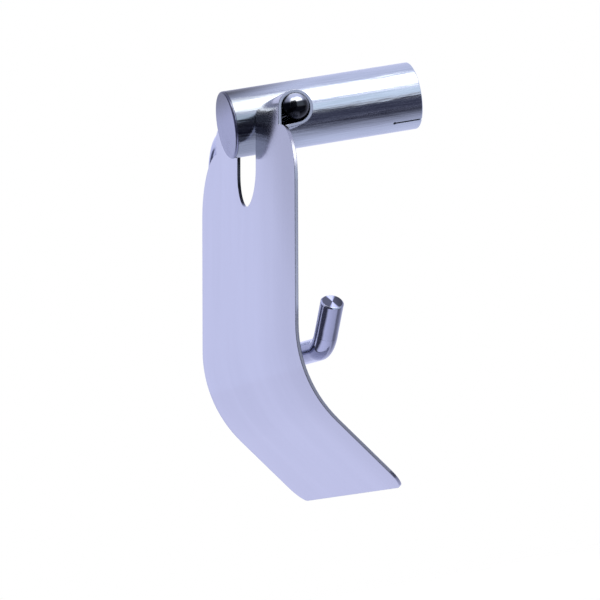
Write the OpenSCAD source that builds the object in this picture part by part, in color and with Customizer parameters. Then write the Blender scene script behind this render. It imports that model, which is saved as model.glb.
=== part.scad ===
// Toilet roll holder with a swinging roll bar and a hanging cover flap.
// Millimetres, +Z up. The origin is the middle of the post's wall end.
// +Y points into the wall and +X is to the right for someone facing it.

/* [Post] */
// Outer diameter of the round post
post_d = 25.4; // [20:0.2:32]
// Wall of the post's tube
post_wall = 1.5; // [1:0.1:2.5]
// How far the post stands out of the wall, cap included
post_len = 73.7; // [66:0.1:100]
// From the cap's face back to the hinge
hinge_back = 14.6; // [12:0.2:20]
// How far the hinge lies below the middle of the post
hinge_drop = 1.1; // [0:0.1:2]
// Rounding of the tube's rim at the wall
rim_r = 0.5; // [0.2:0.1:0.8]

/* [Front cap] */
// Thickness of the cap's disc
cap_t = 1; // [1:0.1:3]
// Length of the plug that centres the cap in the tube
cap_plug_len = 3.5; // [2:0.5:4]
// Radial clearance of that plug
cap_gap = 0.02; // [0.01:0.01:0.05]
// Rounding of the disc's front edge
cap_edge_r = 0.7; // [0.2:0.1:0.8]
// Depth of the seam between the disc and the tube
seam_depth = 0.15; // [0.05:0.05:0.15]

/* [Saw cut at the wall end] */
// Width of the cut
slit_w = 0.7; // [0.4:0.1:1.5]
// Length of the cut
slit_len = 11; // [6:0.5:16]
// Hole that ends the cut
slit_hole_d = 1.2; // [1:0.2:3]
// Angle of the cut below the right-hand side
slit_angle = 52; // [30:1:70]

/* [Wall boss] */
// Radial clearance between the boss and the tube
boss_gap = 0.1; // [0.05:0.05:0.3]
// Length of the boss
boss_len = 22; // [16:1:30]
// Diameter of the two screw holes
screw_hole_d = 4.2; // [3.2:0.1:4.6]
// Distance between the two screw holes
screw_spacing = 12; // [11:0.5:13]
// Diameter of the countersunk screw heads
screw_head_d = 7.6; // [6:0.2:8]
// Chamfer at the end that goes into the tube
boss_chamfer = 0.8; // [0.2:0.1:1.5]

/* [Grub screw] */
// Thread diameter of the grub screw
grub_d = 5; // [4:0.5:6]
// Length of the grub screw
grub_len = 7; // [5:0.5:8]
// From the wall to the grub screw
grub_out = 12; // [9:0.5:15]
// Radial clearance of the screw in its hole
grub_gap = 0.05; // [0.02:0.01:0.1]
// Size across flats of its hexagon socket
socket_af = 2.5; // [2:0.5:3]
// Depth of that socket
socket_depth = 2.5; // [1.5:0.5:3]
// Angle of the screw to the left of straight down
grub_angle = 20; // [0:1:25]

/* [Hanger rod] */
// Diameter of the rod
rod_d = 8.4; // [6:0.2:9]
// From the end of the flap's flat stretch down to the roll bar
bar_below = 8.9; // [6:0.1:16]
// From the flap's side out to the middle of the arm
arm_beyond = 1; // [0:0.5:8]
// Radius of every bend, at the middle of the rod
bend_r = 13.6; // [10:0.1:20]
// From the flap's side in to where the bar turns up
bar_inset = 2.8; // [0:0.2:14]
// How steeply the free end turns up
tip_angle = 48.5; // [20:0.5:80]
// Straight length of the free end
tip_len = 14.4; // [6:0.1:30]
// Chamfer round the free end
tip_chamfer = 0.5; // [0.2:0.1:1]
// Angle at which the hanger leans towards the room
hanger_angle = 8.8; // [0:0.1:15]
// Radial clearance of the rod in the post
pin_gap = 0.05; // [0.02:0.01:0.1]

/* [Sleeves on the pin] */
// Outer diameter of the sleeves
sleeve_d = 10; // [9.6:0.1:11.2]
// Radial clearance between a sleeve and the rod
sleeve_gap = 0.02; // [0.01:0.01:0.04]
// Gap between a sleeve and the side of the post
sleeve_side_gap = 0.3; // [0.2:0.1:0.5]
// How far the dome's base stays inside the knuckle
dome_inset = 0; // [0:0.1:3]
// Height of the dome
dome_rise = 4.5; // [2:0.1:4.7]
// How far the plain sleeve stands out of the knuckle
sleeve_proud = 0.6; // [0:0.1:2]

/* [Cover flap] */
// Thickness of the sheet
sheet_t = 1.2; // [0.8:0.1:2]
// Width of the flap
flap_w = 136; // [120:1:150]
// From the flap's side in to the outer edge of its ear
ear_inset = 22.3; // [16:0.1:28]
// Gap between the slot's edge and the post
slot_gap = 0.8; // [0.2:0.1:1.5]
// From the hinge down to the bottom of the slot
slot_depth = 32.1; // [30:0.1:50]
// From the hinge down to the shoulders
shoulder_drop = 6.9; // [6.5:0.1:12]
// Radius of the shoulders
shoulder_r = 22.5; // [12:0.5:24]
// From the hinge down to the end of the flat stretch
flat_drop = 80.9; // [70:0.1:95]
// Radius of the curve, on the front face
curve_r = 47.6; // [30:0.2:80]
// Angle that the curve turns through
curve_angle = 47; // [20:1:60]
// Length of the lip below the curve
lip_len = 34; // [20:1:50]
// Radius of the lip's corners
corner_r = 7.5; // [3:0.5:18]
// Angle at which the flap leans towards the room
flap_angle = 10.6; // [0:0.1:20]

/* [Knuckles] */
// Radial clearance between a knuckle and its sleeve
knuckle_gap = 0.1; // [0.05:0.01:0.1]
// How much lower the knuckle's middle lies than the pin's, as it hangs
knuckle_sag = 0.3; // [0:0.1:0.5]
// Angle that the curl goes on through behind the pin, below its middle
curl_angle = 75; // [60:1:90]
// Gap between the curl's straight end and the back of the sheet
curl_gap = 0.3; // [0.1:0.1:1]

/* [Hidden] */
$fn = 96;
rod_fn = 80; // facets round the rod, fewer because its bends take many
cut = 1; // overrun of every cut
lap = 0.01; // overlap that joins a straight end to its bend
face_inset = 0.001; // how far a straight end's faces lie inside those of its bend
tip_inset = 0.02; // how far the straight tip lies inside the surface of its bend
post_r = post_d / 2;
bore_r = post_r - post_wall;
tube_len = post_len - cap_t;
hinge_y = hinge_back - post_len;
rod_r = rod_d / 2;
run_r = rod_r - face_inset;
tip_r = rod_r - tip_inset;
sleeve_r = sleeve_d / 2;
boss_r = bore_r - boss_gap;
screw_hole_r = screw_hole_d / 2;
grub_r = grub_d / 2;
slot_r = post_r + slot_gap;
half_w = flap_w / 2;
ear_out = half_w - ear_inset;
knuckle_in = sleeve_r + knuckle_gap + knuckle_sag;
knuckle_out = knuckle_in + sheet_t;
curl_run = (knuckle_in * (1 + cos(curl_angle)) - curl_gap) / sin(curl_angle);
sleeve_in = post_r + sleeve_side_gap;
dome_base = ear_out - dome_inset;
rod_end = dome_base - rod_r;
dome_r = (sleeve_r * sleeve_r + dome_rise * dome_rise) / (2 * dome_rise);
bar_drop = flat_drop + bar_below;
straight_arm = bar_drop - 2 * bend_r;
arm_out = half_w + arm_beyond;
pin_left = arm_out - bend_r;
bar_reach = half_w - bar_inset;

// A bar along +X from x0 to x1
module bar_x(r, x0, x1) {
    translate([x0, 0, 0]) rotate([0, 90, 0]) cylinder(r = r, h = x1 - x0);
}

// A bar along +Y from y0 to y1
module bar_y(r, y0, y1) {
    translate([0, y0, 0]) rotate([-90, 0, 0]) cylinder(r = r, h = y1 - y0);
}

// Sheet bent round the X axis: angles count from straight down towards the wall
module bent_sheet(r_in, r_out, from, sweep, x0, x1) {
    translate([x0, 0, 0]) rotate([0, 90, 0]) rotate([0, 0, from])
        rotate_extrude(angle = sweep) translate([r_in, 0]) square([r_out - r_in, x1 - x0]);
}

// Rod bent in the X-Z plane, from its start on the X axis, turning about a centre at +Z
module bent_rod(r, bend, sweep) {
    translate([0, 0, bend]) rotate([90, 0, 0]) rotate([0, 0, -90])
        rotate_extrude(angle = sweep) translate([bend, 0]) circle(r = r);
}

// What turns about the hinge, modelled as hanging straight down
module lean(angle) {
    translate([0, hinge_y, -hinge_drop]) rotate([-angle, 0, 0]) children();
}

// Round tube with the hinge bore, the grub screw hole and the saw cut
module post_tube() {
    color("lightsteelblue") difference() {
        union() {
            bar_y(post_r, -tube_len, -rim_r);
            bar_y(post_r - rim_r, -rim_r, 0);
            rotate([90, 0, 0]) rotate_extrude() translate([post_r - rim_r, rim_r]) circle(r = rim_r);
        }
        bar_y(bore_r, -tube_len - cut, cut);
        translate([0, hinge_y, -hinge_drop]) bar_x(rod_r + pin_gap, -post_r - cut, post_r + cut);
        grub_hole(post_r, post_r);
        rotate([0, slit_angle, 0]) saw_cut();
    }
}

// What lies along the grub screw, modelled as pointing straight down
module grub_place() {
    rotate([0, grub_angle, 0]) translate([0, -grub_out, 0]) children();
}

// Hole for the grub screw, from outside the radius r inwards
module grub_hole(r, depth) {
    grub_place() translate([0, 0, -r - cut]) cylinder(r = grub_r + grub_gap, h = depth + cut);
}

// Narrow cut along +X's side of the tube, open to the wall, with a round end
module saw_cut() {
    translate([0, -slit_len, -slit_w / 2]) cube([post_r + cut, slit_len + cut, slit_w]);
    translate([0, -slit_len, 0]) bar_x(slit_hole_d / 2, 0, post_r + cut);
}

// Disc with a rounded edge and a seam behind it, on a plug that fits the tube
module front_cap() {
    color("lightsteelblue") translate([0, -post_len, 0]) rotate([-90, 0, 0]) {
        cylinder(r = post_r - cap_edge_r, h = cap_t);
        translate([0, 0, cap_edge_r]) cylinder(r = post_r, h = cap_t - cap_edge_r - seam_depth);
        translate([0, 0, cap_t - seam_depth]) cylinder(r1 = post_r, r2 = post_r - seam_depth, h = seam_depth);
        rotate_extrude() translate([post_r - cap_edge_r, cap_edge_r]) intersection() {
            circle(r = cap_edge_r);
            translate([0, -cap_edge_r]) square(cap_edge_r);
        }
        cylinder(r = bore_r - cap_gap, h = cap_t + cap_plug_len);
    }
}

// Plug on the wall: two countersunk screw holes and the hole for the grub screw
module wall_boss() {
    color("silver") difference() {
        union() {
            bar_y(boss_r, boss_chamfer - boss_len, 0);
            translate([0, boss_chamfer - boss_len, 0]) rotate([90, 0, 0])
                cylinder(r1 = boss_r, r2 = boss_r - boss_chamfer, h = boss_chamfer);
        }
        for (side = [-1, 1]) translate([side * screw_spacing / 2, 0, 0]) screw_hole();
        grub_hole(boss_r, grub_len);
    }
}

// Through hole with a countersink at the room end
module screw_hole() {
    sink = screw_head_d / 2 - screw_hole_r;
    bar_y(screw_hole_r, -boss_len - cut, cut);
    translate([0, -boss_len, 0]) rotate([-90, 0, 0])
        cylinder(r1 = screw_head_d / 2, r2 = screw_hole_r, h = sink);
}

// Screw without a head, with a hexagon socket in its lower end
module grub_screw() {
    color("dimgray") grub_place() translate([0, 0, -boss_r]) difference() {
        cylinder(r = grub_r, h = grub_len);
        translate([0, 0, -cut]) cylinder(r = socket_af / sqrt(3), h = socket_depth + cut, $fn = 6);
    }
}

// One rod: hinge pin, elbow, arm, elbow, roll bar and the free end that turns up
module hanger_rod() {
    $fn = rod_fn;
    color("gainsboro") lean(hanger_angle) {
        bar_x(run_r, -pin_left - lap, rod_end);
        translate([-pin_left, 0, 0]) mirror([1, 0, 0]) mirror([0, 0, 1]) bent_rod(rod_r, bend_r, 90);
        translate([-arm_out, 0, bend_r - bar_drop - lap]) cylinder(r = run_r, h = straight_arm + 2 * lap);
        translate([0, 0, -bar_drop]) {
            translate([-pin_left, 0, 0]) mirror([1, 0, 0]) bent_rod(rod_r, bend_r, 90);
            bar_x(run_r, -pin_left - lap, bar_reach + lap);
            translate([bar_reach, 0, 0]) free_end();
        }
    }
}

// The bend at the end of the roll bar, with its straight, chamfered tip
module free_end() {
    bent_rod(rod_r, bend_r, tip_angle);
    translate([0, 0, bend_r]) rotate([0, -tip_angle, 0]) translate([0, 0, -bend_r]) {
        bar_x(tip_r, -lap, tip_len - tip_chamfer);
        translate([tip_len - tip_chamfer, 0, 0]) rotate([0, 90, 0])
            cylinder(r1 = tip_r, r2 = tip_r - tip_chamfer, h = tip_chamfer);
    }
}

// Blind sleeve over the right end of the pin, closed by a dome
module domed_sleeve() {
    color("slategray") lean(hanger_angle) rotate([0, 90, 0]) rotate_extrude() difference() {
        union() {
            translate([0, sleeve_in]) square([sleeve_r, dome_base - sleeve_in]);
            translate([0, dome_base]) intersection() {
                translate([0, dome_rise - dome_r]) circle(r = dome_r);
                square([sleeve_r, dome_rise]);
            }
        }
        translate([-cut, sleeve_in - cut]) square([rod_r + sleeve_gap + cut, rod_end - sleeve_in + cut]);
    }
}

// Plain sleeve over the left half of the pin
module plain_sleeve() {
    color("slategray") lean(hanger_angle) difference() {
        bar_x(sleeve_r, -ear_out - sleeve_proud, -sleeve_in);
        bar_x(rod_r + sleeve_gap, -ear_out - sleeve_proud - cut, -sleeve_in + cut);
    }
}

// The outline of the flat stretch, seen from the room
module flat_outline() {
    difference() {
        union() {
            translate([-half_w, -flat_drop]) square([flap_w, flat_drop - shoulder_drop - shoulder_r]);
            translate([shoulder_r - half_w, -flat_drop])
                square([flap_w - 2 * shoulder_r, flat_drop - shoulder_drop]);
            for (side = [-1, 1]) translate([side * (half_w - shoulder_r), -shoulder_drop - shoulder_r])
                circle(r = shoulder_r);
            translate([-ear_out, -shoulder_drop - shoulder_r])
                square([2 * ear_out, shoulder_drop + shoulder_r - knuckle_sag]);
        }
        translate([-slot_r, -slot_depth + slot_r]) square([2 * slot_r, slot_depth]);
        translate([0, -slot_depth + slot_r]) circle(r = slot_r);
    }
}

// The outline of the lip, from just above the curve's end down
module lip_outline() {
    translate([-half_w, corner_r - lip_len]) square([flap_w, lip_len - corner_r + cut]);
    translate([corner_r - half_w, -lip_len]) square([flap_w - 2 * corner_r, lip_len + cut]);
    for (side = [-1, 1]) translate([side * (half_w - corner_r), corner_r - lip_len]) circle(r = corner_r);
}

// The ear of one side goes over the pin, down behind it and straight on forwards below it
module knuckle(x0, x1) {
    translate([0, 0, -knuckle_sag]) {
        bent_sheet(knuckle_in, knuckle_out, 90, 180, x0, x1);
        mirror([0, 0, 1]) {
            bent_sheet(knuckle_in, knuckle_out, 90, curl_angle, x0, x1);
            rotate([curl_angle, 0, 0]) translate([x0, knuckle_in + face_inset, -lap])
                cube([x1 - x0, sheet_t - 2 * face_inset, curl_run + lap]);
        }
    }
}

// One bent sheet: two curled ears, slot, shoulders, flat, curve and lip
module cover_flap() {
    color("lavender") lean(flap_angle) {
        translate([0, -knuckle_in, 0]) rotate([90, 0, 0]) linear_extrude(sheet_t) flat_outline();
        knuckle(slot_r, ear_out);
        knuckle(-ear_out, -slot_r);
        translate([0, curve_r - knuckle_out, -flat_drop]) {
            bent_sheet(curve_r - sheet_t, curve_r, -90, curve_angle, -half_w, half_w);
            difference() {
                rotate([curve_angle, 0, 0]) translate([0, sheet_t - face_inset - curve_r, 0])
                    rotate([90, 0, 0]) linear_extrude(sheet_t - 2 * face_inset) lip_outline();
                bent_sheet(0, curve_r + cut, -90, curve_angle, -half_w - cut, half_w + cut);
            }
        }
    }
}

post_tube();
front_cap();
wall_boss();
grub_screw();
hanger_rod();
domed_sleeve();
plain_sleeve();
cover_flap();
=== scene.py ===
import math

import bpy
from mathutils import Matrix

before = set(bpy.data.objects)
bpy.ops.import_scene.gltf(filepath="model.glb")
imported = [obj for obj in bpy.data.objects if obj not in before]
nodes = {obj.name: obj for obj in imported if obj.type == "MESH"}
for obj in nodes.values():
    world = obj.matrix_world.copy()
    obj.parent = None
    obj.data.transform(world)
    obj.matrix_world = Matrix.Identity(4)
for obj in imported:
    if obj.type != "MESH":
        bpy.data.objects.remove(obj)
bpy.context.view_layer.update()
scene = bpy.context.scene
print("frame loaded with", len(nodes), "pieces")


camera = {  # a long lens from the right, fitted to the outlines of the photographed object
    "place": (1.48567, -0.48479, -0.12564),
    "turn": (92.136, 10.458, 74.348),  # degrees about X, Y and Z
    "lens": 248.68,
    "sensor": 36,
    "clip": (0.05, 20),
}


def makeCamera():
    data = bpy.data.cameras.new("productCamera")
    data.lens = camera["lens"]
    data.sensor_width = camera["sensor"]
    data.clip_start, data.clip_end = camera["clip"]
    eye = bpy.data.objects.new("productCamera", data)
    eye.location = camera["place"]
    eye.rotation_euler = [math.radians(angle) for angle in camera["turn"]]
    scene.collection.objects.link(eye)
    scene.camera = eye


makeCamera()
scene.view_settings.view_transform = "Standard"
print("camera placed")


def put(tree, kind, inputs=None, **settings):
    node = tree.nodes.new(kind)
    for name, value in settings.items():
        setattr(node, name, value)
    for name, value in (inputs or {}).items():
        if isinstance(value, bpy.types.NodeSocket):
            tree.links.new(value, node.inputs[name])
        else:
            node.inputs[name].default_value = value
    return node


def mathNode(tree, operation, first, second=0.0):
    return put(tree, "ShaderNodeMath", {0: first, 1: second}, operation=operation).outputs[0]


def vectorNode(tree, operation, first, second=(0, 0, 0)):
    return put(tree, "ShaderNodeVectorMath", {0: first, 1: second}, operation=operation).outputs


def remap(tree, value, fromLow, fromHigh, toLow, toHigh, kind="LINEAR"):
    return put(tree, "ShaderNodeMapRange", {
        "Value": value, "From Min": fromLow, "From Max": fromHigh, "To Min": toLow, "To Max": toHigh,
    }, interpolation_type=kind).outputs["Result"]


def fade(tree, value, low, high):  # nought up to low, one from high on, smooth between them
    return remap(tree, value, low, high, 0.0, 1.0, "SMOOTHSTEP")


def newGroup(name, inputs, outputs):
    group = bpy.data.node_groups.new(name, "ShaderNodeTree")
    for label, (kind, value) in inputs.items():
        socket = group.interface.new_socket(name=label, in_out="INPUT", socket_type=kind)
        socket.default_value = value
    for label, kind in outputs.items():
        group.interface.new_socket(name=label, in_out="OUTPUT", socket_type=kind)
    return group, group.nodes.new("NodeGroupInput").outputs, group.nodes.new("NodeGroupOutput").inputs


floatKind, vectorKind, colorKind = "NodeSocketFloat", "NodeSocketVector", "NodeSocketColor"
noiseSpread = (0.3, 0.7)  # nearly all of a noise texture's values lie between these


def stretchedNoise(group, given, inputs):  # noise fixed to the piece, squeezed along each axis by Stretch
    coords = put(group, "ShaderNodeTexCoord").outputs["Object"]
    stretched = vectorNode(group, "MULTIPLY", coords, given["Stretch"])[0]
    return put(group, "ShaderNodeTexNoise", {"Vector": stretched, "Scale": 1.0, **inputs}).outputs["Fac"]


def buildPolishLines():  # long, fine lines left by the polishing wheel
    group, given, result = newGroup(
        "polishLines", {"Stretch": (vectorKind, (900, 20, 900))}, {"Lines": floatKind})
    noise = stretchedNoise(group, given, {"Detail": 4.0, "Roughness": 0.6})
    group.links.new(fade(group, noise, *noiseSpread), result["Lines"])
    return group


handMark = {
    "ridges": 9.0,  # how much finer the ridges are than the patch
    "ridgeSpread": (0.35, 0.65),
    "ridgeFloor": 0.45,  # what is left of a patch between two ridges
    "bareLevel": 0.78,  # noise above which a patch shows where Cover is nought
    "coverDrop": 0.4,  # how far a Cover of one lowers that level
    "softness": 0.16,
}


def buildHandMarks():  # faint smudges, dull where fingers have been
    group, given, result = newGroup("handMarks", {
        "Size": (floatKind, 60.0), "Cover": (floatKind, 0.5)}, {"Marks": floatKind})
    coords = put(group, "ShaderNodeTexCoord").outputs["Object"]
    patches = put(group, "ShaderNodeTexNoise", {
        "Vector": coords, "Scale": given["Size"], "Detail": 2.0, "Roughness": 0.5, "Distortion": 0.4})
    ridges = put(group, "ShaderNodeTexNoise", {
        "Vector": coords, "Scale": mathNode(group, "MULTIPLY", given["Size"], handMark["ridges"]),
        "Detail": 3.0})
    drop = mathNode(group, "MULTIPLY", given["Cover"], handMark["coverDrop"])
    edge = mathNode(group, "SUBTRACT", handMark["bareLevel"], drop)
    mask = fade(group, patches.outputs["Fac"], edge, mathNode(group, "ADD", edge, handMark["softness"]))
    broken = remap(
        group, ridges.outputs["Fac"], *handMark["ridgeSpread"], handMark["ridgeFloor"], 1.0, "SMOOTHSTEP")
    group.links.new(mathNode(group, "MULTIPLY", mask, broken), result["Marks"])
    return group


def buildPaintedShade():  # painted shade: a share that falls from one, along Way, between the places From and To, darkening the colour there
    group, given, result = newGroup("paintedShade", {
        "Way": (vectorKind, (1, 0, 0)), "From": (floatKind, 0.0), "To": (floatKind, 0.01),
        "Depth": (floatKind, 0.0)}, {"Share": floatKind})
    coords = put(group, "ShaderNodeTexCoord").outputs["Object"]
    along = vectorNode(group, "DOT_PRODUCT", coords, given["Way"])["Value"]
    depth = mathNode(group, "MULTIPLY", fade(group, along, given["From"], given["To"]), given["Depth"])
    group.links.new(mathNode(group, "SUBTRACT", 1.0, depth), result["Share"])
    return group


def buildWaves():  # slow unevenness that bends the reflections, and edges that look a little round
    group, given, result = newGroup("waves", {
        "Stretch": (vectorKind, (90, 25, 90)), "Height": (floatKind, 0.0),
        "Round": (floatKind, 0.0002)}, {"Normal": vectorKind})
    noise = stretchedNoise(group, given, {"Detail": 3.0, "Roughness": 0.55, "Distortion": 0.3})
    rounded = put(group, "ShaderNodeBevel", {"Radius": given["Round"]}, samples=6).outputs["Normal"]
    bump = put(group, "ShaderNodeBump", {"Height": noise, "Distance": given["Height"], "Normal": rounded})
    group.links.new(bump.outputs["Normal"], result["Normal"])
    return group


# limits of the painted highlight wedge on the rod's end face
paintedGlintLimits = {
    "wedge": (0.84, 0.99),  # cosines off the wedge's middle line, where it begins and is brightest
    "facing": (0.9, 0.98),  # cosines off the face's axis, where a surface begins to count and counts fully
}


def buildPaintedEndGlint():  # painted shade and painted highlight for a turned end face: darkened, with one painted bright double wedge through its middle
    group, given, result = newGroup("paintedEndGlint", {
        "Middle": (vectorKind, (0, 0, 0)), "Axis": (vectorKind, (1, 0, 0)),
        "Wedge": (vectorKind, (0, 0, 1)), "Reach": (floatKind, 0.005), "Dark": (floatKind, 0.1),
        "Bright": (floatKind, 1.5)}, {"Share": floatKind})
    coords = put(group, "ShaderNodeTexCoord").outputs
    offset = vectorNode(group, "SUBTRACT", coords["Object"], given["Middle"])[0]
    way = vectorNode(group, "NORMALIZE", offset)[0]
    along = vectorNode(group, "DOT_PRODUCT", way, given["Wedge"])["Value"]
    bright = fade(group, mathNode(group, "ABSOLUTE", along), *paintedGlintLimits["wedge"])
    facing = vectorNode(group, "DOT_PRODUCT", coords["Normal"], given["Axis"])["Value"]
    near = vectorNode(group, "LENGTH", offset)["Value"]
    inReach = mathNode(group, "LESS_THAN", near, given["Reach"])
    onEnd = mathNode(group, "MULTIPLY", fade(group, facing, *paintedGlintLimits["facing"]), inReach)
    share = remap(group, bright, 0.0, 1.0, given["Dark"], given["Bright"])
    group.links.new(remap(group, onEnd, 0.0, 1.0, 1.0, share), result["Share"])
    return group


cutFace = {  # how much of its normal a cut face has along X, where it begins to count and counts fully
    "darkened": (0.3, 0.6),
    "edge": (0.15, 0.4),
}


def buildCutEdge():  # the sheet's cut edges, and a share that darkens those of the left half that face +X
    group, given, result = newGroup(
        "cutEdge", {"Depth": (floatKind, 0.0)}, {"Edge": floatKind, "Share": floatKind})
    coords = put(group, "ShaderNodeTexCoord").outputs
    place = put(group, "ShaderNodeSeparateXYZ", {0: coords["Object"]}).outputs["X"]
    facing = put(group, "ShaderNodeSeparateXYZ", {0: coords["Normal"]}).outputs["X"]
    onLeft = mathNode(group, "LESS_THAN", place, 0.0)
    # the left half's cut faces that face +X are darkened
    darkened = mathNode(group, "MULTIPLY", fade(group, facing, *cutFace["darkened"]), onLeft)
    depth = mathNode(group, "MULTIPLY", darkened, given["Depth"])
    group.links.new(mathNode(group, "SUBTRACT", 1.0, depth), result["Share"])
    group.links.new(fade(group, mathNode(group, "ABSOLUTE", facing), *cutFace["edge"]), result["Edge"])
    return group


def buildToneDrift():  # slow change between two tones over the surface
    group, given, result = newGroup("toneDrift", {
        "Stretch": (vectorKind, (20, 20, 6)), "First": (colorKind, (1, 1, 1, 1)),
        "Second": (colorKind, (1, 1, 1, 1))}, {"Tone": colorKind})
    share = fade(group, stretchedNoise(group, given, {"Detail": 2.0}), *noiseSpread)
    mix = put(group, "ShaderNodeMix", {
        "Factor": share, 6: given["First"], 7: given["Second"]}, data_type="RGBA")
    group.links.new(mix.outputs[2], result["Tone"])
    return group


polishLines, handMarks = buildPolishLines(), buildHandMarks()
paintedShade, waves, toneDrift = buildPaintedShade(), buildWaves(), buildToneDrift()
paintedEndGlint, cutEdge = buildPaintedEndGlint(), buildCutEdge()
print("shared effects built")

lineHeight = 0.00002  # metres between the top and the foot of a polishing line


def useGroup(tree, group, inputs):
    return put(tree, "ShaderNodeGroup", inputs, node_tree=group).outputs


def makeSteel(name, finish):
    material = bpy.data.materials.new(name)
    material.use_nodes = True
    tree = material.node_tree
    shader = tree.nodes["Principled BSDF"].inputs
    lines = useGroup(tree, polishLines, {"Stretch": finish["lineStretch"]})["Lines"]
    marks = useGroup(tree, handMarks, {"Size": finish["markSize"], "Cover": finish["markCover"]})["Marks"]
    tone = useGroup(tree, toneDrift, {
        "Stretch": finish["driftStretch"], "First": (*finish["tone"], 1),
        "Second": (*finish["secondTone"], 1)})["Tone"]
    shade = remap(tree, lines, 0.0, 1.0, 1.0 - finish["lineShade"], 1.0)
    rough = put(tree, "ShaderNodeMath", {
        0: lines, 1: finish["lineRough"], 2: finish["rough"]}, operation="MULTIPLY_ADD").outputs[0]
    rough = mathNode(tree, "ADD", rough, mathNode(tree, "MULTIPLY", marks, finish["markRough"]))
    # painted shade: each entry darkens the colour along its Way
    for side in finish.get("paintedShades", ()):
        shade = mathNode(tree, "MULTIPLY", shade, useGroup(tree, paintedShade, side)["Share"])
    if "cutDepth" in finish:
        cut = useGroup(tree, cutEdge, {"Depth": finish["cutDepth"]})
        shade = mathNode(tree, "MULTIPLY", shade, cut["Share"])
        rough = mathNode(tree, "ADD", rough, mathNode(tree, "MULTIPLY", cut["Edge"], finish["cutRough"]))
    # painted shade and a painted highlight wedge on the rod's end face
    if "end" in finish:
        shade = mathNode(tree, "MULTIPLY", shade, useGroup(tree, paintedEndGlint, finish["end"])["Share"])
    colour = put(tree, "ShaderNodeVectorMath", {0: tone, "Scale": shade}, operation="SCALE").outputs[0]
    wavy = useGroup(tree, waves, {
        "Stretch": finish["waveStretch"], "Height": finish["waveHeight"], "Round": finish["edgeRound"]})
    bump = put(tree, "ShaderNodeBump", {
        "Height": lines, "Strength": finish["lineStrength"], "Distance": lineHeight,
        "Normal": wavy["Normal"]})
    tree.links.new(colour, shader["Base Color"])
    tree.links.new(rough, shader["Roughness"])
    tree.links.new(bump.outputs["Normal"], shader["Normal"])
    shader["Metallic"].default_value = 1.0
    return material


def dress(material, *names):
    for name in names:
        piece = nodes[name]
        piece.data.materials.clear()
        piece.data.materials.append(material)


# Stretches and mark sizes are counts to the metre. Heights, rounds and places are metres, a Way is a
# direction, and colours and the rest are shares.
tubeFinish = {
    "tone": (0.55, 0.60, 0.64), "secondTone": (0.60, 0.64, 0.68), "driftStretch": (60, 12, 60),
    "lineStretch": (2200, 50, 2200), "lineShade": 0.14, "lineRough": 0.1, "lineStrength": 0.6,
    "rough": 0.11, "markSize": 70.0, "markCover": 0.4, "markRough": 0.08,
    "waveStretch": (160, 30, 160), "waveHeight": 0.0002, "edgeRound": 0.0002,
    # painted shade: darker at the top, most towards the front end, and darker towards the front end
    "paintedShades": ({"Way": (0, -0.1, 1), "From": 0.015, "To": 0.0192, "Depth": 0.95},
              {"Way": (0, -1, 0), "From": 0.042, "To": 0.07, "Depth": 0.35}),
}
capFinish = {
    "tone": (0.30, 0.315, 0.41), "secondTone": (0.33, 0.34, 0.44), "driftStretch": (60, 60, 40),
    "lineStretch": (300, 300, 2500), "lineShade": 0.04, "lineRough": 0.06, "lineStrength": 0.08,
    "rough": 0.2, "markSize": 70.0, "markCover": 0.4, "markRough": 0.08,
    "waveStretch": (60, 60, 60), "waveHeight": 0.0001, "edgeRound": 0.0002,
    # painted shade: the cap's face darker towards its top
    "paintedShades": ({"Way": (0, 0, 1), "From": 0.0, "To": 0.012, "Depth": 0.75},),
}
bossFinish = {
    "tone": (0.42, 0.42, 0.44), "secondTone": (0.36, 0.36, 0.38), "driftStretch": (90, 90, 90),
    "lineStretch": (600, 2500, 600), "lineShade": 0.12, "lineRough": 0.15, "lineStrength": 0.5,
    "rough": 0.32, "markSize": 90.0, "markCover": 0.4, "markRough": 0.1,
    "waveStretch": (90, 90, 90), "waveHeight": 0.0001, "edgeRound": 0.0002,
}
grubFinish = {
    "tone": (0.06, 0.06, 0.065), "secondTone": (0.09, 0.09, 0.10), "driftStretch": (300, 300, 300),
    "lineStretch": (900, 900, 3000), "lineShade": 0.2, "lineRough": 0.15, "lineStrength": 0.6,
    "rough": 0.4, "markSize": 200.0, "markCover": 0.4, "markRough": 0.1,
    "waveStretch": (90, 90, 90), "waveHeight": 0.0001, "edgeRound": 0.0002,
}
rodFinish = {
    "tone": (0.51, 0.53, 0.64), "secondTone": (0.54, 0.56, 0.68), "driftStretch": (50, 50, 50),
    "lineStretch": (40, 1500, 1500), "lineShade": 0.05, "lineRough": 0.05, "lineStrength": 0.10,
    "rough": 0.11, "markSize": 80.0, "markCover": 0.4, "markRough": 0.08,
    "waveStretch": (70, 70, 70), "waveHeight": 0.0002, "edgeRound": 0.0002,
    "end": {  # the free end's face, with painted shade and a painted highlight wedge: its middle, the way it looks and the bright wedge's way
        "Middle": (0.08493, -0.07049, -0.07465), "Axis": (0.663, 0.115, 0.740),
        "Wedge": (-0.749, 0.101, 0.655), "Dark": 0.24, "Bright": 1.85},
    # painted shade: the rod darker towards its +Y side near the upturned tip
    "paintedShades": ({"Way": (0.089, 0.968, -0.231), "From": -0.0447, "To": -0.04, "Depth": 0.5},),
}
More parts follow.
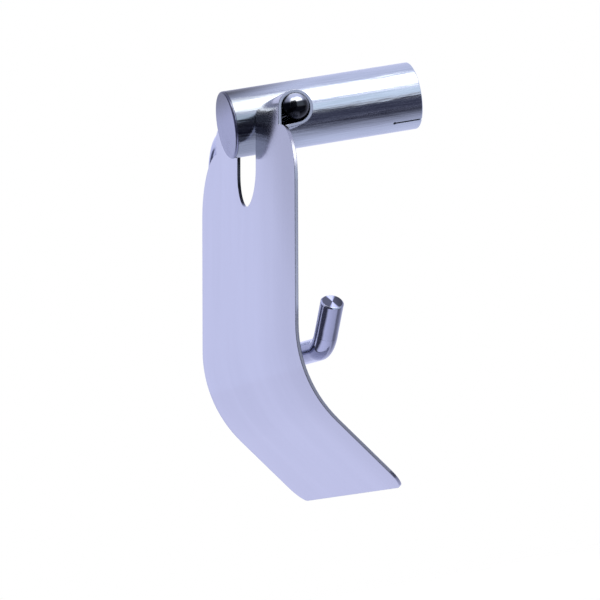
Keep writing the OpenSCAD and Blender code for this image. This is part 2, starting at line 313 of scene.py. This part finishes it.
# a bright tone for a painted highlight on the dome's top; the entries below paint shade under it and at
# both sides
domeFinish = {
    "tone": (0.60, 0.63, 0.67), "secondTone": (0.66, 0.69, 0.74), "driftStretch": (80, 80, 80),
    "lineStretch": (1800, 300, 300), "lineShade": 0.08, "lineRough": 0.06, "lineStrength": 0.10,
    "rough": 0.09, "markSize": 90.0, "markCover": 0.4, "markRough": 0.08,
    "waveStretch": (90, 90, 90), "waveHeight": 0.0002, "edgeRound": 0.0002,
    "paintedShades": ({"Way": (0, 0, -1), "From": -0.0012, "To": 0.0, "Depth": 0.92},
              {"Way": (0, 1, 0), "From": -0.0578, "To": -0.0562, "Depth": 0.6},
              {"Way": (0, -1, 0), "From": 0.061, "To": 0.0625, "Depth": 0.6}),
}
flapFinish = {
    "tone": (0.55, 0.56, 0.64), "secondTone": (0.52, 0.53, 0.61), "driftStretch": (45, 10, 10),
    "lineStretch": (1100, 14, 14), "lineShade": 0.03, "lineRough": 0.04, "lineStrength": 0.12,
    "rough": 0.1, "markSize": 45.0, "markCover": 0.35, "markRough": 0.06,
    "waveStretch": (30, 8, 6), "waveHeight": 0.0001, "edgeRound": 0.0004,
    # painted shade: the sheet darker towards its +X side and top, and along a thin strip at its +X edge
    "paintedShades": ({"Way": (1, 0, 0.35), "From": -0.02, "To": 0.05, "Depth": 0.16},
              {"Way": (1, 0, 0.8), "From": 0.0, "To": 0.04, "Depth": 0.2},
              {"Way": (1, 0, -0.01), "From": 0.0687, "To": 0.0689, "Depth": 0.35}),
    "cutDepth": 0.9, "cutRough": 0.15,
}

dress(makeSteel("polishedTube", tubeFinish), "post_tube")
dress(makeSteel("turnedCap", capFinish), "front_cap")
dress(makeSteel("machinedBoss", bossFinish), "wall_boss")
dress(makeSteel("blackenedScrew", grubFinish), "grub_screw")
dress(makeSteel("polishedRod", rodFinish), "hanger_rod", "plain_sleeve")
# the dome's colour carries a painted highlight and painted shade
dress(makeSteel("domeWithPaintedHighlight", domeFinish), "domed_sleeve")
dress(makeSteel("polishedSheet", flapFinish), "cover_flap")
print("finishes applied")


studio = {
    "middle": (0, -0.04, -0.05),  # of the round cards and the floor, and where the lamp points
    "roomLevel": 0.7,  # the white room's own light on the object
}


def seenDirectly(tree):  # one for rays from the camera, from a mirror or through glass, else nought
    path = put(tree, "ShaderNodeLightPath").outputs
    seen = mathNode(tree, "MAXIMUM", path["Is Camera Ray"], path["Is Glossy Ray"])
    return mathNode(tree, "MAXIMUM", seen, path["Is Transmission Ray"])


def makeWorld():
    world = bpy.data.worlds.new("whiteRoom")
    world.use_nodes = True
    tree = world.node_tree
    tree.nodes.clear()
    level = remap(tree, seenDirectly(tree), 0.0, 1.0, studio["roomLevel"], 1.0)
    back = put(tree, "ShaderNodeBackground", {"Color": (1, 1, 1, 1), "Strength": level})
    put(tree, "ShaderNodeOutputWorld", {"Surface": back.outputs[0]})
    scene.world = world


def blendedMaterial(name, build):  # build gives a share and the shaders where it is nought and one
    material = bpy.data.materials.new(name)
    material.use_nodes = True
    tree = material.node_tree
    tree.nodes.clear()
    share, first, second = build(tree)
    mix = put(tree, "ShaderNodeMixShader", {0: share, 1: first.outputs[0], 2: second.outputs[0]})
    put(tree, "ShaderNodeOutputMaterial", {"Surface": mix.outputs[0]})
    return material


def between(low, high, share):
    return low + (high - low) * share


floorLook = {
    "height": -0.2,
    "size": 1.8,
    "rings": 12,
    "spokes": 64,
    "fade": (0.25, 0.8),  # how far out the floor begins to melt into the white room, and is gone
    "paint": (0.8, 0.8, 0.8),
    "lift": 0.32,  # a glow of its own that makes it look white, but lights no matt surface
}


def floorShaders(tree):
    paint = put(tree, "ShaderNodeBsdfDiffuse", {"Color": (*floorLook["paint"], 1)})
    glow = mathNode(tree, "MULTIPLY", seenDirectly(tree), floorLook["lift"])
    lift = put(tree, "ShaderNodeEmission", {"Color": (1, 1, 1, 1), "Strength": glow})
    both = put(tree, "ShaderNodeAddShader", {0: paint.outputs[0], 1: lift.outputs[0]})
    far = vectorNode(tree, "LENGTH", put(tree, "ShaderNodeTexCoord").outputs["Object"])["Value"]
    return fade(tree, far, *floorLook["fade"]), both, put(tree, "ShaderNodeBsdfTransparent")


def makeFloor():  # a round disc of rings and spokes
    rings, spokes = floorLook["rings"], floorLook["spokes"]
    vertices, faces = [(0, 0, 0)], []
    for ring in range(1, rings + 1):
        radius = floorLook["size"] * ring / rings
        for spoke in range(spokes):
            turn = 2 * math.pi * spoke / spokes
            vertices.append((radius * math.cos(turn), radius * math.sin(turn), 0))
    for spoke in range(spokes):
        after = (spoke + 1) % spokes
        faces.append((0, 1 + spoke, 1 + after))
        for ring in range(rings - 1):
            a, b = 1 + ring * spokes + spoke, 1 + ring * spokes + after
            faces.append((a, a + spokes, b + spokes, b))
    mesh = bpy.data.meshes.new("floor")
    mesh.from_pydata(vertices, [], faces)
    mesh.materials.append(blendedMaterial("paleFloor", floorShaders))
    floor = bpy.data.objects.new("floor", mesh)
    floor.location = (*studio["middle"][:2], floorLook["height"])
    scene.collection.objects.link(floor)


topLamp = {
    "place": (0.35, -0.25, 1.1),
    "size": (0.9, 0.9),
    "power": 6.0,
}


def makeLamp(name, lamp):
    data = bpy.data.lights.new(name, "AREA")
    data.shape, data.energy = "RECTANGLE", lamp["power"]
    data.size, data.size_y = lamp["size"]
    light = bpy.data.objects.new(name, data)
    light.location = lamp["place"]
    light.visible_glossy = False  # the cards are what the metal mirrors
    aim = [m - p for m, p in zip(studio["middle"], lamp["place"])]
    reach = math.sqrt(sum(a * a for a in aim))
    light.rotation_euler = (math.acos(-aim[2] / reach), 0, math.atan2(aim[1], aim[0]) - math.pi / 2)
    scene.collection.objects.link(light)


cardCells = 32  # along each side of a card

# Sheets that only reflections show, as in a photographer's light tent. A card lies on a ball round the
# object, by degrees around from +X and up, or follows a path of X and Z and is wide across Y.
# cover is how much it hides; soft gives its faded borders as shares: left, right, low, high.
cards = {
    "tent": {
        "around": (0, 360), "up": (-3, 90), "reach": 1.6,
        "colour": (0.71, 0.735, 1), "glow": 1.13, "cover": 1.0, "soft": (0, 0, 0.06, 0)},
    "farTent": {
        "around": (95, 265), "up": (-6, 9), "reach": 1.55,
        "colour": (0.71, 0.735, 1), "glow": 1.13, "cover": 1.0, "soft": (0, 0, 0, 0)},
    "paleTable": {
        "path": [(1.6, -0.195), (0, -0.195), (-1.6, -0.195)], "across": (-1.6, 1.6),
        "colour": (0.715, 0.735, 1), "glow": 1.09, "cover": 1.0, "soft": (0.1, 0.1, 0.1, 0)},
    "softBox": {
        "around": (-70, 80), "up": (28, 84), "reach": 1.1,
        "colour": (1, 1, 1), "glow": 4, "cover": 1.0, "soft": (0.2, 0.2, 0.3, 0.55)},
    "paleBand": {
        "around": (-70, 80), "up": (1, 30), "reach": 1.2,
        "colour": (0.72, 0.82, 1), "glow": 1.25, "cover": 1.0, "soft": (0.2, 0.2, 0.1, 0.3)},
    "darkTable": {
        "path": [(0.07, -0.19), (0.27, -0.19), (0.8, -0.19), (2.0, -0.19), (5.0, -0.19)],
        "across": (-3, 4),
        "colour": (0.5, 0.52, 1), "glow": 0.08, "cover": 0.98, "soft": (0.15, 0.15, 0.25, 0.45)},
    "wallShade": {
        "path": [(-0.1, -0.189), (0, -0.189), (0.1, -0.189), (0.2, -0.189)], "across": (-0.02, 0.6),
        "colour": (0.4, 0.38, 1), "glow": 0.03, "cover": 0.95, "soft": (0.05, 0.4, 0.95, 0)},
    "roomTable": {
        "path": [(-0.3, -0.188), (0.3, -0.188), (0.9, -0.188), (1.5, -0.188)], "across": (-1.2, -0.15),
        "colour": (0.4, 0.38, 1), "glow": 0.03, "cover": 0.95, "soft": (0.1, 0.06, 0.1, 0.1)},
    "cameraFlag": {
        "around": (-62, 4), "up": (-50, 62), "reach": 1.0,
        "colour": (0.4, 0.35, 1), "glow": 0.03, "cover": 0.95, "soft": (0.2, 0.12, 0.1, 0.15)},
    "roomFlag": {
        "around": (-152, -50), "up": (-60, 50), "reach": 0.9,
        "colour": (0.4, 0.45, 1), "glow": 0.11, "cover": 0.95, "soft": (0.1, 0.1, 0.1, 0.2)},
}


def cardShaders(tree, card):
    place = put(tree, "ShaderNodeSeparateXYZ", {0: put(tree, "ShaderNodeTexCoord").outputs["UV"]}).outputs
    mask = card["cover"]
    for axis, low, high in (("X", *card["soft"][:2]), ("Y", *card["soft"][2:])):
        if low:
            mask = mathNode(tree, "MULTIPLY", fade(tree, place[axis], 0.0, low), mask)
        if high:
            falling = remap(tree, place[axis], 1.0 - high, 1.0, 1.0, 0.0, "SMOOTHSTEP")
            mask = mathNode(tree, "MULTIPLY", falling, mask)
    light = put(tree, "ShaderNodeEmission", {"Color": (*card["colour"], 1), "Strength": card["glow"]})
    return mask, put(tree, "ShaderNodeBsdfTransparent"), light


def ballSpot(card, u, v):
    around = math.radians(between(*card["around"], u))
    up = math.radians(between(*card["up"], v))
    way = (math.cos(around) * math.cos(up), math.sin(around) * math.cos(up), math.sin(up))
    return [m + card["reach"] * w for m, w in zip(studio["middle"], way)]


def pathSpot(card, u, v):
    path = card["path"]
    at = min(int(v * (len(path) - 1)), len(path) - 2)
    share = v * (len(path) - 1) - at
    x, z = (between(a, b, share) for a, b in zip(path[at], path[at + 1]))
    return [x, between(*card["across"], u), z]


def makeCard(name, card):
    spotOf = pathSpot if "path" in card else ballSpot
    steps = range(cardCells + 1)
    uvs = [(column / cardCells, row / cardCells) for row in steps for column in steps]
    corners = [row * len(steps) + column for row in range(cardCells) for column in range(cardCells)]
    mesh = bpy.data.meshes.new(name)
    mesh.from_pydata([spotOf(card, u, v) for u, v in uvs], [],
                     [(n, n + 1, n + 1 + len(steps), n + len(steps)) for n in corners])
    layer = mesh.uv_layers.new(name="cardUv")
    for loop in mesh.loops:
        layer.data[loop.index].uv = uvs[loop.vertex_index]
    mesh.materials.append(blendedMaterial(name, lambda tree: cardShaders(tree, card)))
    sheet = bpy.data.objects.new(name, mesh)
    scene.collection.objects.link(sheet)
    for ray in ("camera", "diffuse", "shadow", "transmission"):
        setattr(sheet, "visible_" + ray, False)


makeWorld()
makeFloor()
makeLamp("topLamp", topLamp)
for name, card in cards.items():
    makeCard(name, card)
print("studio built")
